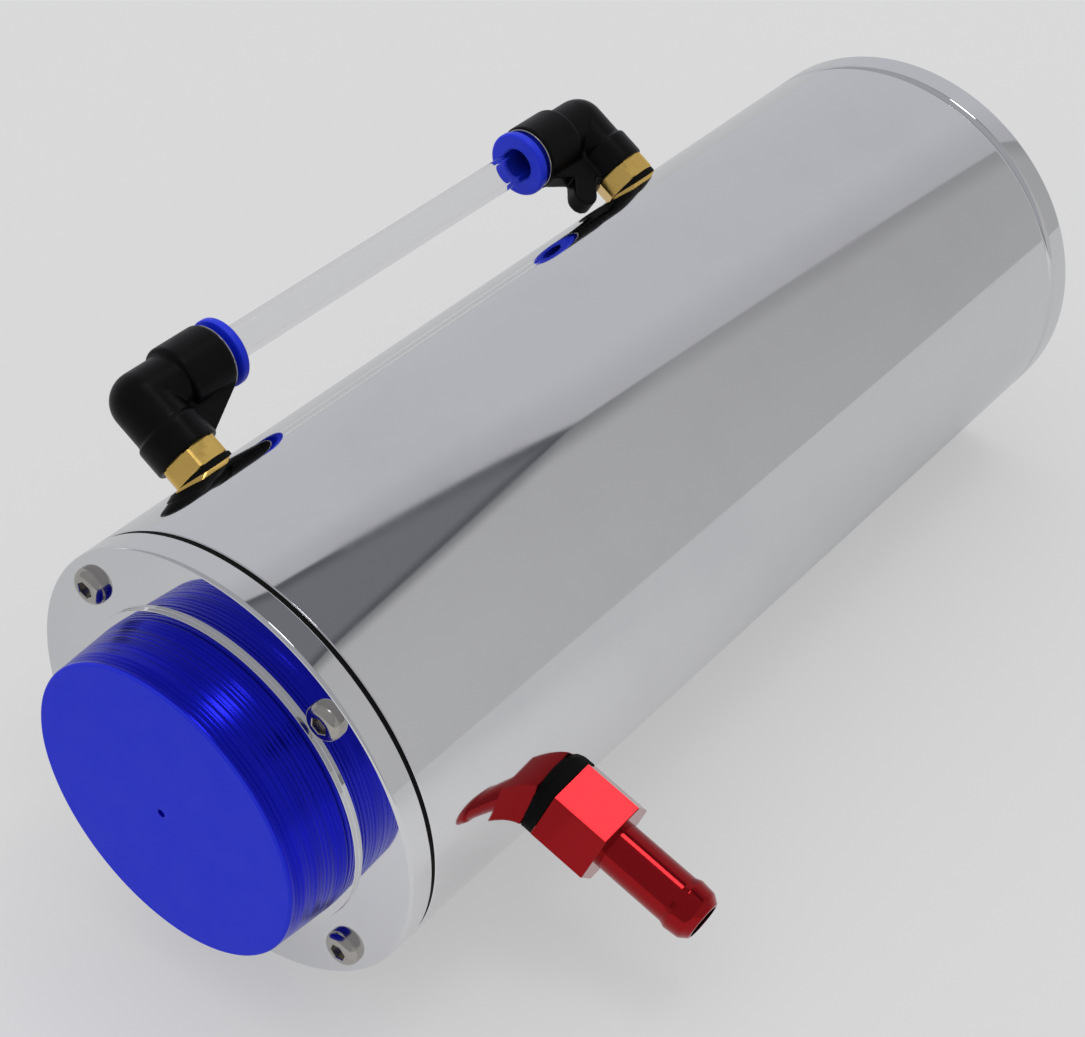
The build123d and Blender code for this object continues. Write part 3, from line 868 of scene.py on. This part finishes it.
def web_points():
    """Corners of the elbow's web, as (along the tube, out of the tank)."""
    return [
        (0, elbow_seat + elbow_edge), (stud_barrel_radius, elbow_seat + elbow_edge),
        (tube_barrel_end - elbow_edge, tube_axis_radius - tube_barrel_radius),
        (tube_barrel_end - elbow_edge, tube_axis_radius), (0, tube_axis_radius),
    ]


def lug_points():
    """Outline of the round-ended lug in the elbow's inner corner."""
    notch = Vector((stud_barrel_radius, tube_axis_radius - tube_barrel_radius))
    way = Vector((1, -1)).normalized()
    side = Vector((way.y, -way.x))
    half = lug_width / 2
    end = notch + way * (lug_reach - half)
    arc = [math.radians(angle) for angle in range(-90, 91, 15)]
    tip = [end + side * half * -math.sin(a) + way * half * math.cos(a) for a in arc]
    return [notch + side * half - way * lug_root] + tip + [notch - side * half - way * lug_root]


def add_plate(mesh, points, place, half_thickness):
    """A flat plate of this outline, centred on the frame's plane."""
    sides = [
        [mesh.verts.new(place @ Vector((out, along, level)) * MM) for along, out in points]
        for level in (-half_thickness, half_thickness)
    ]
    mesh.faces.new(sides[0])
    mesh.faces.new(sides[1])
    for index in range(len(points)):
        after = (index + 1) % len(points)
        mesh.faces.new((sides[0][index], sides[0][after], sides[1][after], sides[1][index]))


def elbow_body(end, x, facing):
    """Solid parts of an elbow, still apart: two barrels, the ball at the bend, the web, and on the lower
    elbow the lug.
    """
    stand, along = out_frame(x, gauge_angle, facing), tube_frame(x, facing)
    barrel_top = elbow_seat + stud_barrel_length
    mesh = bmesh.new()
    turned_mesh(mesh, rounded([
        (elbow_seat, 0), (elbow_seat, stud_barrel_radius, stud_barrel_round),
        (barrel_top, stud_barrel_radius, elbow_edge), (barrel_top, elbow_neck_radius),
        (tube_axis_radius, elbow_neck_radius), (tube_axis_radius, 0),
    ]), stand, COARSE)
    turned_mesh(mesh, rounded([
        (0, 0), (0, elbow_neck_radius), (tube_barrel_start, elbow_neck_radius),
        (tube_barrel_start, tube_barrel_radius, elbow_edge),
        (tube_barrel_end, tube_barrel_radius, tube_barrel_round), (tube_barrel_end, 0),
    ]), along, COARSE)
    arc = [math.radians(angle) for angle in range(0, 181, 6)]
    ball = [(-elbow_neck_radius * math.cos(a), elbow_neck_radius * math.sin(a)) for a in arc]
    turned_mesh(mesh, ball, along, COARSE)
    add_plate(mesh, web_points(), stand, web_half_thickness)
    if end == "lower":
        add_plate(mesh, lug_points(), stand, web_half_thickness)
    return finished(mesh, f"elbow_shell_{end}")


def elbow_bores(x, facing):
    """Cutting pieces for the tube's stepped bore and the stud's socket."""
    tube_room = sight_tube_radius + tube_clearance
    mouth_end = tube_barrel_end + bore_overrun
    mouth = turned("bore_tool", [
        (sight_tube_stop, 0), (sight_tube_stop, tube_room), (mouth_bore_start, tube_room),
        (mouth_bore_start, guide_ring_radius), (mouth_end, guide_ring_radius), (mouth_end, 0),
    ], tube_frame(x, facing), COARSE)
    journal_room = stud_journal_radius + journal_clearance
    socket_start = elbow_seat - bore_overrun
    socket_end = elbow_seat + stud_journal_length + journal_end_clearance
    socket = turned("socket_tool", [
        (socket_start, 0), (socket_start, journal_room), (socket_end, journal_room), (socket_end, 0),
    ], out_frame(x, gauge_angle, facing), COARSE)
    return mouth, socket


def make_elbow(end, x, facing):
    """Black push-in elbow: its parts in one soft-edged skin, with the bores cut out."""
    elbow = elbow_body(end, x, facing)
    elbow.modifiers.clear()
    remesh = elbow.modifiers.new("one_skin", "REMESH")
    remesh.mode = "VOXEL"
    remesh.voxel_size = elbow_voxel * MM
    soften = elbow.modifiers.new("soften", "SMOOTH")
    soften.factor = elbow_softness
    soften.iterations = elbow_soft_steps
    tools = elbow_bores(x, facing)
    for tool in tools:
        cut = elbow.modifiers.new("bore", "BOOLEAN")
        cut.operation = "DIFFERENCE"
        cut.object = tool
        cut.solver = "EXACT"
    apply_modifiers(elbow)
    for tool in tools:
        bpy.data.objects.remove(tool)
    dress(elbow, f"elbow_{end}", "tank", "black_plastic")


def apply_modifiers(piece, sharp_angle=40.0):
    """Puts the piece's modifiers into its mesh."""
    bpy.context.view_layer.update()
    depsgraph = bpy.context.evaluated_depsgraph_get()
    data = bpy.data.meshes.new_from_object(piece.evaluated_get(depsgraph))
    piece.modifiers.clear()
    piece.data = data
    data.shade_smooth()
    data.set_sharp_from_angle(angle=math.radians(sharp_angle))


def make_mouth_pieces(end, x, facing):
    """Guide ring in the elbow's mouth, and the collet that moves in it."""
    along = tube_frame(x, facing)
    ring = turned(f"guide_sleeve_{end}", [
        (guide_ring_start, guide_ring_bore), (guide_ring_start, guide_ring_radius),
        (tube_barrel_end, guide_ring_radius), (tube_barrel_end, guide_ring_lip, guide_ring_lip_round),
        (guide_ring_end, guide_ring_lip, guide_ring_front_round),
        (guide_ring_end, guide_ring_bore, guide_ring_bore_round),
    ], along)
    dress(ring, f"guide_ring_{end}", "tank", "steel")
    collet = turned(f"release_collet_{end}", [
        (collet_start, collet_bore), (collet_start, collet_sleeve_radius),
        (collet_head_start, collet_sleeve_radius), (collet_head_start, collet_head_radius, collet_back_round),
        (collet_head_end, collet_head_radius, collet_front_round),
        (collet_head_end, collet_bore + collet_lead_in, collet_lead_in_round),
        (collet_head_end - collet_lead_in, collet_bore),
    ], along)
    dress(collet, f"collet_{end}", f"collet_{end}", "blue_plastic")


def make_sight_tube():
    """Clear tube between the two elbows."""
    start = gauge_places[0][1] + sight_tube_stop
    finish = gauge_places[1][1] - sight_tube_stop
    tube = turned("clear_tube", [
        (start, sight_tube_bore), (start, sight_tube_radius, sight_tube_edge_round),
        (finish, sight_tube_radius, sight_tube_edge_round), (finish, sight_tube_bore),
    ], tube_frame(0, 1))
    dress(tube, "sight_tube", "tank", "clear_plastic")


def dress_packed_nodes():
    """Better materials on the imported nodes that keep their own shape."""
    kept = {
        "mouth_ring": "plain_aluminium", "port_boss": "plain_aluminium", "pickup_pipe": "plain_aluminium",
        "port_washer": "black_rubber",
    }
    for end in ("upper", "lower"):
        kept.update({
            f"gauge_boss_{end}": "plain_aluminium", f"stud_washer_{end}": "black_rubber",
            f"swivel_seal_{end}": "black_rubber", f"tube_seal_{end}": "black_rubber",
            f"gripper_{end}": "steel",
        })
    for name, slot in kept.items():
        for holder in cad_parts[name].material_slots:
            holder.material = materials[slot]


make_tank()
make_flange()
make_screws()
make_cap()
make_cap_seal()
make_hose_fitting()
for end, x, facing in gauge_places:
    make_stud(end, x)
    make_elbow(end, x, facing)
    make_mouth_pieces(end, x, facing)
make_sight_tube()
dress_packed_nodes()

# Floor, studio and camera. Lengths here are metres

floor_left, floor_right = -1.2, 1.6
floor_front, floor_back = -0.41, 1.6
floor_colour = (0.70, 0.70, 0.705, 1)
backdrop_colour = (0.71, 0.71, 0.715, 1)
# Colour of the painted shade that mirrors see on the floor behind the tank and towards its base
painted_reflection_shade_colour = (0.46, 0.465, 0.48, 1)
backdrop_share = 0.55
floor_mottle = 0.985

# Painted shade: to mirrors in the tank, the floor's glow is painted darker across these widths behind it and
# towards its base
painted_shade_behind = (0.0, 0.09)
painted_shade_beyond = (-0.16, -0.02)
painted_shade_beyond_share = 0.85

# Soft light of the world, brighter from above and from the side of the cap and the gauge
sky_low, sky_rise, sky_lean = 0.3, 0.92, 0.2
key_direction = Vector((0.29, -0.16, 0.95))
key_distance = 3.0
key_size = 0.8
key_radiance = 4.5
camera_place = Vector((-0.35906, -0.1919, 0.2457))
camera_forward = Vector((0.614, 0.4844, -0.6232))
camera_right = Vector((0.6194, -0.7851, 0.0))
camera_lens = 76.33


def make_floor():
    """Plain pale sheet that the tank lies on."""
    mesh = bmesh.new()
    corners = (
        (floor_left, floor_front), (floor_right, floor_front),
        (floor_right, floor_back), (floor_left, floor_back),
    )
    mesh.faces.new([mesh.verts.new((x, y, floor_z * MM)) for x, y in corners])
    floor = finished(mesh, "floor_sheet")
    floor.data.materials.append(floor_material())


def floor_material():
    """Pale sheet, with an even glow for the camera that lightens its shadows, and a glow to mirrors with
    painted shade, darker behind the tank and towards its base.
    """
    material, tree, bsdf, place = new_material("floor_sheet", Roughness=0.7, Specular_IOR_Level=0.1)
    grain = use_group(tree, fine_grain, place, Grain=900.0)
    darker = tuple(floor_mottle * part for part in floor_colour)
    shade = mixed(tree, grain.outputs["Mottle"], floor_colour, darker)
    give(tree, bsdf.inputs["Base Color"], shade)
    path = shader(tree, "ShaderNodeLightPath")
    parts = shader(tree, "ShaderNodeSeparateXYZ", Vector=place)
    # Painted shade in the floor's reflection: its glow to mirrors is darker behind the tank and towards its
    # base
    behind = between(tree, parts.outputs["Y"], *painted_shade_behind)
    beyond = between(tree, parts.outputs["X"], *painted_shade_beyond, 0.0, painted_shade_beyond_share)
    dim = maths(tree, "MAXIMUM", behind, beyond)
    painted_reflection_colour = mixed(tree, dim, backdrop_colour, painted_reflection_shade_colour)
    glow = shader(tree, "ShaderNodeEmission", Strength=1.0)
    give(tree, glow.inputs["Color"], mixed(tree, path.outputs["Is Glossy Ray"], backdrop_colour, painted_reflection_colour))
    seen = maths(tree, "MAXIMUM", path.outputs["Is Camera Ray"], path.outputs["Is Transmission Ray"])
    seen = maths(tree, "MAXIMUM", seen, path.outputs["Is Glossy Ray"])
    blend = shader(tree, "ShaderNodeMixShader", Fac=maths(tree, "MULTIPLY", seen, backdrop_share))
    tree.links.new(bsdf.outputs[0], blend.inputs[1])
    tree.links.new(glow.outputs[0], blend.inputs[2])
    tree.links.new(blend.outputs[0], tree.nodes["Material Output"].inputs["Surface"])
    return material


# What polished pieces mirror, as places on a ceiling one unit above them or parts of a direction
lowest_rise = 0.02
wedge_corner = (0.86, -0.23)
ceiling_slope, upper_slope, lower_slope = -0.68, -1.93, 1.68
ceiling_near, ceiling_far = (0.475, 0.475, 0.50, 1), (0.555, 0.56, 0.59, 1)
ceiling_fade = 0.5
camera_side = (-0.6, -0.25)
camera_side_colour = (1.6, 1.6, 1.62, 1)
slate_edge, slate = (0.08, 0.085, 0.095, 1), (0.175, 0.18, 0.2, 1)
slate_depth = 0.14
wedge_fade = (0.3, 0.6)
wedge_fade_share = 0.7
wall_high, wall_low = (0.48, 0.48, 0.482, 1), (0.50, 0.50, 0.502, 1)
wall_depth = 1.6
wall_shade = (0.5, 0.8)
wall_shade_share = 0.15
line_width = 0.2
line_end = 1.0
line_shares = (0.6, 0.28)
line_softness = 0.012
turn_softness = 0.05
horizon = (-0.01, 0.02)


def ceiling_plan(tree, direction):
    """The direction's place along and across a ceiling one unit above, and its own parts."""
    parts = shader(tree, "ShaderNodeSeparateXYZ", Vector=direction)
    height = maths(tree, "MAXIMUM", parts.outputs["Z"], lowest_rise)
    along = maths(tree, "DIVIDE", parts.outputs["X"], height)
    across = maths(tree, "DIVIDE", parts.outputs["Y"], height)
    return along, across, parts


def slanted(tree, along, slope, corner):
    """Height of a straight line of this slope through the corner, at along."""
    rise = maths(tree, "MULTIPLY", maths(tree, "SUBTRACT", along, corner[0]), slope)
    return maths(tree, "ADD", rise, corner[1])


def studio_colour(tree, direction):
    """What polished pieces mirror: a pale ceiling, a dark wedge over the cap, and a grey wall in front."""
    along, across, parts = ceiling_plan(tree, direction)
    ceiling_line = slanted(tree, along, ceiling_slope, wedge_corner)
    upper_edge = maths(tree, "MAXIMUM", slanted(tree, along, upper_slope, wedge_corner), ceiling_line)
    lower_edge = maths(tree, "MINIMUM", slanted(tree, along, lower_slope, wedge_corner), ceiling_line)
    above = maths(tree, "SUBTRACT", across, upper_edge)
    below = maths(tree, "SUBTRACT", lower_edge, across)
    ceiling = mixed(tree, between(tree, above, 0.0, ceiling_fade), ceiling_near, ceiling_far)
    to_camera = between(tree, parts.outputs["X"], *camera_side, 1.0, 0.0)
    ceiling = mixed(tree, to_camera, ceiling, camera_side_colour)
    wall = mixed(tree, between(tree, below, 0.0, wall_depth), wall_high, wall_low)
    shade = between(tree, parts.outputs["X"], *wall_shade, 0.0, wall_shade_share)
    wall = mixed(tree, shade, wall, slate_edge)
    line_share = between(tree, along, wedge_corner[0], line_end, *line_shares)
    line = maths(tree, "MULTIPLY", between(tree, below, 0.0, line_width, 1.0, 0.0), line_share)
    wall = mixed(tree, line, wall, slate_edge)
    inside = [maths(tree, "MULTIPLY", edge, -1.0) for edge in (above, below)]
    depth = maths(tree, "MINIMUM", *inside)
    wedge = mixed(tree, between(tree, depth, 0.0, slate_depth), slate_edge, slate)
    fade = between(tree, along, *wedge_fade, wedge_fade_share, 0.0)
    wedge = mixed(tree, fade, wedge, ceiling_near)
    upper = mixed(tree, between(tree, above, -line_softness, line_softness), wedge, ceiling)
    sky = mixed(tree, between(tree, below, -line_softness, line_softness), upper, wall)
    to_back = between(tree, parts.outputs["Y"], -turn_softness, turn_softness)
    low_sky = mixed(tree, to_back, wall, ceiling_far)
    return mixed(tree, between(tree, parts.outputs["Z"], *horizon), low_sky, sky)


def make_studio():
    """World that is pale to the camera, even for soft light, and a simple studio to polished pieces."""
    world = bpy.data.worlds.new("studio")
    bpy.context.scene.world = world
    world.use_nodes = True
    tree = world.node_tree
    tree.nodes.clear()
    direction = shader(tree, "ShaderNodeTexCoord").outputs["Generated"]
    path = shader(tree, "ShaderNodeLightPath")
    parts = shader(tree, "ShaderNodeSeparateXYZ", Vector=direction)
    lean = maths(tree, "SUBTRACT", parts.outputs["Y"], parts.outputs["X"])
    level = maths(tree, "MULTIPLY_ADD", lean, sky_lean, sky_low)
    level = maths(tree, "MULTIPLY_ADD", maths(tree, "MAXIMUM", parts.outputs["Z"], 0.0), sky_rise, level)
    even = shader(tree, "ShaderNodeCombineColor", Red=level, Green=level, Blue=level).outputs[0]
    colour = mixed(tree, path.outputs["Is Glossy Ray"], even, studio_colour(tree, direction))
    pale = maths(tree, "MAXIMUM", path.outputs["Is Camera Ray"], path.outputs["Is Transmission Ray"])
    colour = mixed(tree, pale, colour, backdrop_colour)
    background = shader(tree, "ShaderNodeBackground", Color=colour, Strength=1.0)
    output = shader(tree, "ShaderNodeOutputWorld")
    tree.links.new(background.outputs[0], output.inputs["Surface"])


def make_key_light():
    """Soft lamp high over the tank."""
    light = bpy.data.lights.new("key_lamp", "AREA")
    light.shape = "DISK"
    light.size = key_size
    light.energy = key_radiance * math.pi * math.pi * (key_size / 2) ** 2
    lamp = bpy.data.objects.new("key_lamp", light)
    bpy.context.scene.collection.objects.link(lamp)
    middle = (cad_low + cad_high) / 2
    lamp.location = middle + key_direction.normalized() * key_distance
    lamp.rotation_euler = key_direction.to_track_quat("Z", "Y").to_euler()


def make_camera():
    """Camera at the photo's place."""
    up = camera_right.cross(camera_forward)
    data = bpy.data.cameras.new("photo_camera")
    data.lens = camera_lens
    data.sensor_fit = "HORIZONTAL"
    data.clip_start = 0.01
    camera = bpy.data.objects.new("photo_camera", data)
    bpy.context.scene.collection.objects.link(camera)
    turn = Matrix((camera_right.normalized(), up.normalized(), -camera_forward.normalized())).transposed()
    camera.matrix_world = Matrix.Translation(camera_place) @ turn.to_4x4()
    bpy.context.scene.camera = camera


make_floor()
make_studio()
make_key_light()
make_camera()
bpy.context.scene.view_settings.view_transform = "Standard"
